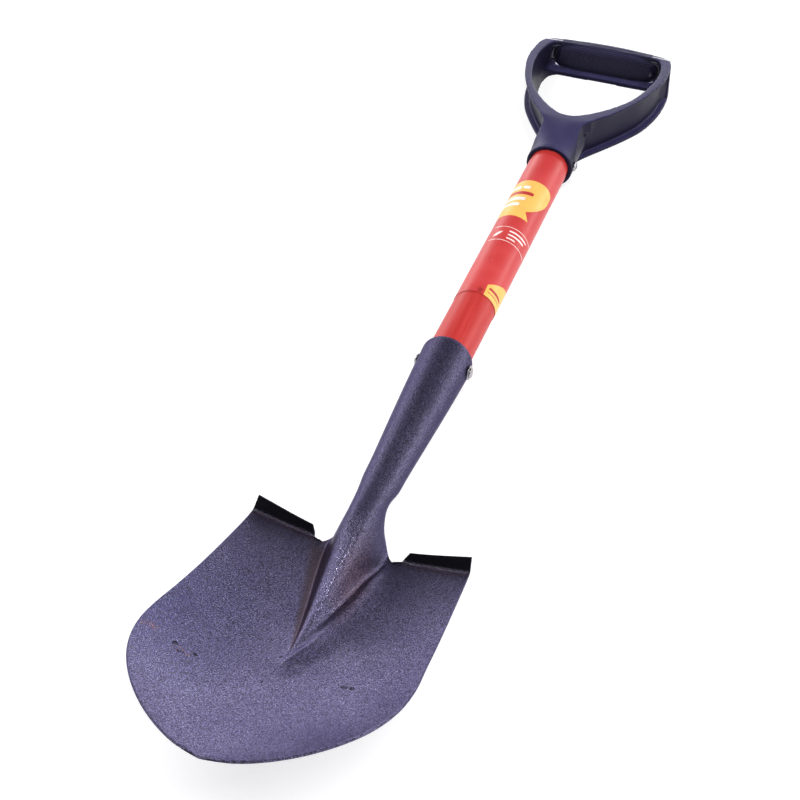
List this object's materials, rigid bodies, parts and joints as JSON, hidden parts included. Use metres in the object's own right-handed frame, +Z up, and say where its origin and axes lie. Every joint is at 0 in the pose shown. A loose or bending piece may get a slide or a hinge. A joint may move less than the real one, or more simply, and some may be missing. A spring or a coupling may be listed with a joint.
{
  "type": "round point shovel",
  "caption": "Short round point shovel: dished steel blade with turned steps and a rolled socket, fibreglass shaft and a moulded D-grip.",
  "frame": {"origin": "centre of the shovel's length and width, on the surface it lies on", "axes": "+Y from the blade's point to the grip, +Z up out of the dished face, +X across the blade"},
  "size_m": [0.1546, 0.7427, 0.0676],
  "materials": {
    "coated_steel": "violet-grey speckled hammer coating, scuffed near the rim",
    "red_fibreglass": "glossy red glass-filled resin",
    "clear_film": "clear film over red with a plain yellow patch",
    "grip_plastic": "satin navy-black moulded plastic, fine grain on the crossbar",
    "bright_steel": "bright zinc-plated steel",
    "wood": "plain sawn softwood"
  },
  "bodies": {
    "root": {"blade": "coated_steel", "shaft_tube": "red_fibreglass", "shaft_label": "clear_film", "d_grip": "grip_plastic", "socket_rivet": "bright_steel", "rivet_washer": "bright_steel", "grip_screw": "bright_steel", "socket_plug": "wood", "grip_plug": "wood"}
  },
  "joints": []
}
